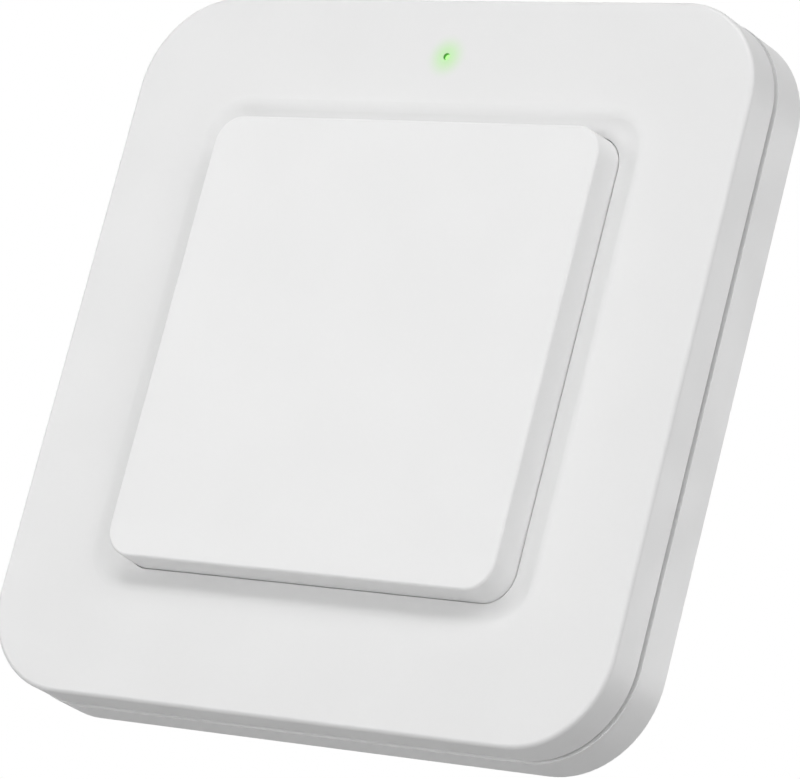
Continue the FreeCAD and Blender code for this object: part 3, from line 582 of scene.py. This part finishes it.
def light_chip(name):
    """Status light: white base below a clear lens that glows."""
    g = Graph(name)
    middle = centre_of("status_led")
    lens = g.within(g.y, middle.y - SOFT_EDGE, middle.y + SOFT_EDGE)
    cloud = g.spread(g.noise(0.3 * MM))
    ends = g.step(g.offset(g.x, middle.x), LED_END_FROM, 0.04 * MM)
    white = g.mix(cloud, *(grey(tone) for tone in LED_WHITES))
    base = g.mix(ends, white, LED_END_GOLD)
    g.set(Base_Color=g.mix(lens, base, g.mix(cloud, *LENS_TINTS)))
    g.set(Roughness=g.blend(lens, 0.5, 0.15), Emission_Color=LENS_GREEN)
    g.set(Emission_Strength=g.both(lens, LENS_STRENGTH))
    g.bump(g.noise(0.15 * MM), 0.002 * MM)
    return g


def coin_cell_steel(name):
    """Nickel-plated cell: turned can, and a plastic seal ring round its minus cap."""
    middle = centre_of("coin_cell")
    g = turned_metal(name, CELL_STEEL, middle, CELL_GROOVES, roughness=0.3)
    low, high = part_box("coin_cell")
    seal_radius = (high.x - low.x) / 2 - SEAL_INSET + SEAL_HALF
    seal = g.within(g.offset(g.away_from(middle), seal_radius), SEAL_HALF, SEAL_EDGE)
    ring = g.both(seal, g.step(g.y, middle.y, 0.1 * MM))
    g.set(Base_Color=g.mix(ring, g.colour, grey(SEAL_TONE)), Metallic=g.within(ring, 0.0, 1.0))
    return g


def snap_dome_steel(node):
    """Bright spring steel, turned about the dome's middle."""
    return turned_metal(node, DOME_STEEL, centre_of(node), DOME_GROOVES, roughness=0.18)


def plunger_plastic(node):
    """Dark plunger with a polished spot where the rocker presses it."""
    g = moulded(node, grey(PLUNGER_TONE), *PLUNGER_GRAIN, roughness=0.5)
    spot = g.within(g.away_from(centre_of(node)), *POLISHED_SPOT)
    g.set(Base_Color=g.mix(g.both(spot, 0.5), g.colour, grey(POLISHED_TONE)))
    g.set(Roughness=g.ramp(spot, 0.0, 1.0, 0.52, 0.3))
    return g


def foam(name):
    """Closed-cell foam of the mounting tape."""
    g = Graph(name)
    pores = g.cells(PORE_SIZE, 0.25)
    cloud = g.noise(3 * MM, 3.0)
    pale = g.mix(g.spread(cloud), *FOAM_WHITES)
    # Painted shade: the foam turns grey where its pore relief is lowest.
    g.set(Base_Color=g.mix(g.ramp(pores, 0.15, 0.55, 0.0, 0.3), pale, PORE_PAINTED_SHADE))
    g.set(Roughness=g.spread(cloud, 0.7, 0.85), Specular_IOR_Level=0.25)
    g.bump(pores, -PORE_DEPTH)
    return g


def tape_strip(name, middle, half_length, thickness, material):
    """One strip of foam tape with round corners, whose cut edge bulges between its faces."""
    half_width = TAPE_WIDTH / 2
    builder = bmesh.new()
    rings = []
    for level in range(TAPE_RINGS):
        share = level / (TAPE_RINGS - 1)
        reach = TAPE_CORNER - TAPE_BULGE * (2 * share - 1) ** 2
        ring = []
        for quarter, (side_x, side_z) in enumerate(((1, 1), (-1, 1), (-1, -1), (1, -1))):
            for step in range(TAPE_CORNER_STEPS + 1):
                angle = math.radians(90) * (quarter + step / TAPE_CORNER_STEPS)
                x = side_x * (half_length - TAPE_CORNER) + reach * math.cos(angle)
                z = side_z * (half_width - TAPE_CORNER) + reach * math.sin(angle)
                place = (middle.x + x, -share * thickness, middle.z + z)
                ring.append(builder.verts.new(place))
        rings.append(ring)
    for low_ring, high_ring in zip(rings, rings[1:]):
        for index in range(len(low_ring)):
            after = (index + 1) % len(low_ring)
            side = (low_ring[index], low_ring[after], high_ring[after], high_ring[index])
            builder.faces.new(side)
    builder.faces.new(list(reversed(rings[0])))
    builder.faces.new(rings[-1])
    bmesh.ops.recalc_face_normals(builder, faces=builder.faces)
    mesh = bpy.data.meshes.new(name)
    builder.to_mesh(mesh)
    builder.free()
    mesh.shade_smooth()
    mesh.set_sharp_from_angle(angle=SHARP_FROM)
    mesh.materials.append(material)
    strip = bpy.data.objects.new(name, mesh)
    bpy.context.scene.collection.objects.link(strip)
    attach(strip, "housing")


# The four screws stand at mirrored places, so the centre of one gives them all
_, screws_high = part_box("carrier_screws")
screw_centre = Vector((screws_high.x - SCREW_RADIUS, 0, screws_high.z - SCREW_RADIUS))

graphs = {
    "rear_housing": satin_white("shell_white", PLATE_TONE),
    "front_frame": plate_with_painted_glow("frame_white", PLATE_TONE),
    "key_cap": satin_white("key_white", KEY_TONE),
    "light_pipe": lit_acrylic("clear_acrylic"),
    "rocker_cradle": moulded("cradle_plastic", CRADLE_GREY, *INNER_GRAIN, roughness=0.55),
    "key_carrier": moulded("carrier_plastic", CARRIER_GREY, *INNER_GRAIN, roughness=0.55),
    "battery_holder": moulded("holder_plastic", HOLDER_BLACK, *HOLDER_GRAIN, roughness=0.5),
    "circuit_board": solder_mask("board_laminate"),
    "carrier_screws": turned_metal("screw_steel", SCREW_STEEL, screw_centre, SCREW_GROOVES, 0.3, True),
    "coin_cell": coin_cell_steel("cell_steel"),
    "status_led": light_chip("led_body"),
    "controller_chip": epoxy("controller_epoxy", "controller_chip", controller_legs, 1.5 * MM),
    "radio_chip": epoxy("radio_epoxy", "radio_chip", radio_leads, 0.6 * MM),
    "radio_crystal": lidded_crystal("crystal_can"),
    "antenna": rolled_metal("antenna_wire", WIRE_COPPER, NOT_DRAWN, 0.28, stain=0.35),
    "chip_capacitors": ended_chip("capacitor_ceramic", "chip_capacitors", CAPACITOR_TAN, 0.45),
    "chip_resistors": ended_chip("resistor_ceramic", "chip_resistors", grey(RESISTOR_TONE), 0.25),
}
for pole in ("positive", "negative"):
    metal_name = pole + "_contact_metal"
    graphs["battery_" + pole + "_contact"] = rolled_metal(metal_name, CONTACT_TIN, DRAWN_ALONG_Z, 0.25)
for half in ("upper", "lower"):
    base, cover, terminals, dome, plunger = (
        half + "_switch_" + piece for piece in ("base", "cover", "terminals", "dome", "plunger"))
    graphs[base] = moulded(base, BASE_BLACK, *BASE_GRAIN, roughness=0.48)
    graphs[cover] = rolled_metal(cover, COVER_STEEL, DRAWN_ALONG_X, 0.3)
    graphs[terminals] = rolled_metal(terminals, CONTACT_TIN, DRAWN_ALONG_X, 0.3, stain=0.3)
    graphs[dome] = snap_dome_steel(dome)
    graphs[plunger] = plunger_plastic(plunger)
for node, graph in graphs.items():
    slots = nodes[node].data.materials
    for index in range(len(slots)):
        slots[index] = graph.material

# The two strips of tape lie in their recesses in the back
tape_low, tape_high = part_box("adhesive_pads")
tape_thickness = tape_high.y - tape_low.y
foam_material = foam("tape_foam").material
strip_z = tape_high.z - TAPE_WIDTH / 2
for side, z in (("upper", strip_z), ("lower", -strip_z)):
    strip_middle = Vector((0, 0, z))
    tape_strip(side + "_tape_strip", strip_middle, tape_high.x, tape_thickness, foam_material)
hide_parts("adhesive_pads")
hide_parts("adhesive_pads")

# Floor, seen only from above, so that a view from below looks through it
floor_mesh = bpy.data.meshes.new("floor")
corners = [(x * FLOOR_REACH, y * FLOOR_REACH, 0) for x, y in ((-1, -1), (1, -1), (1, 1), (-1, 1))]
floor_mesh.from_pydata(corners, [], [(0, 1, 2, 3)])
floor = bpy.data.objects.new("floor", floor_mesh)
floor.location.z = FLOOR_HEIGHT
bpy.context.scene.collection.objects.link(floor)
g = Graph("floor_pale")
g.set(Base_Color=g.clouds(FLOOR_CLOUD, 3.0, [grey(tone) for tone in FLOOR_TONES]))
g.set(Roughness=g.spread(g.noise(FLOOR_PATCH, 3.0), 0.66, 0.74))
clear = g.nodes.new("ShaderNodeBsdfTransparent")
side = g.nodes.new("ShaderNodeNewGeometry")
pick = g.nodes.new("ShaderNodeMixShader")
g.links.new(side.outputs["Backfacing"], pick.inputs[0])
g.links.new(g.shader.outputs[0], pick.inputs[1])
g.links.new(clear.outputs[0], pick.inputs[2])
g.links.new(pick.outputs[0], g.output.inputs["Surface"])
rays = g.nodes.new("ShaderNodeLightPath").outputs
seen = g.either(rays["Is Camera Ray"], g.either(rays["Is Glossy Ray"], rays["Is Transmission Ray"]))
g.set(Emission_Color=grey(1.0), Emission_Strength=g.both(seen, FLOOR_LIFT))
floor_mesh.materials.append(g.material)

# World: white to the camera, in reflections and through clear pieces; a faint level for the rest
world = bpy.data.worlds.new("studio")
bpy.context.scene.world = world
world.use_nodes = True
tree = world.node_tree
tree.nodes.clear()
path = tree.nodes.new("ShaderNodeLightPath")
shown = path.outputs["Is Camera Ray"]
for kind in ("Is Glossy Ray", "Is Transmission Ray"):
    more = tree.nodes.new("ShaderNodeMath")
    more.operation = "MAXIMUM"
    tree.links.new(shown, more.inputs[0])
    tree.links.new(path.outputs[kind], more.inputs[1])
    shown = more.outputs[0]
world_mix = tree.nodes.new("ShaderNodeMixShader")
tree.links.new(shown, world_mix.inputs[0])
for slot, strength in ((1, SKY_LIGHT), (2, SKY_SEEN)):
    sky = tree.nodes.new("ShaderNodeBackground")
    sky.inputs["Color"].default_value = (1, 1, 1, 1)
    sky.inputs["Strength"].default_value = strength
    tree.links.new(sky.outputs[0], world_mix.inputs[slot])
tree.links.new(world_mix.outputs[0], tree.nodes.new("ShaderNodeOutputWorld").inputs["Surface"])


def soft_box(name, azimuth, elevation, width, height, level, beam):
    """Area lamp aimed at the object.

    Level is what a white surface facing an open box gets. A beam keeps the brightness of the
    box's middle, so it gives less where the box is wide for the beam.
    """
    turned, raised = math.radians(azimuth), math.radians(elevation)
    flat = math.cos(raised)
    aim = Vector((math.sin(turned) * flat, -math.cos(turned) * flat, math.sin(raised)))
    lamp = bpy.data.lights.new(name, "AREA")
    lamp.shape = "RECTANGLE"
    lamp.size = width
    lamp.size_y = height
    lamp.energy = level * math.pi * 4 * LAMP_DISTANCE ** 2
    if beam < OPEN_BEAM:
        half_beam = math.radians(beam / 2)
        lamp.spread = 2 * half_beam
        lamp.energy *= (math.tan(half_beam) - half_beam) / math.tan(half_beam)
    box = bpy.data.objects.new(name, lamp)
    bpy.context.scene.collection.objects.link(box)
    box.location = aim * LAMP_DISTANCE
    box.rotation_mode = "QUATERNION"
    box.rotation_quaternion = aim.to_track_quat("Z", "Y")
    box.visible_camera = False


for lamp_row in LAMPS:
    soft_box(*lamp_row)
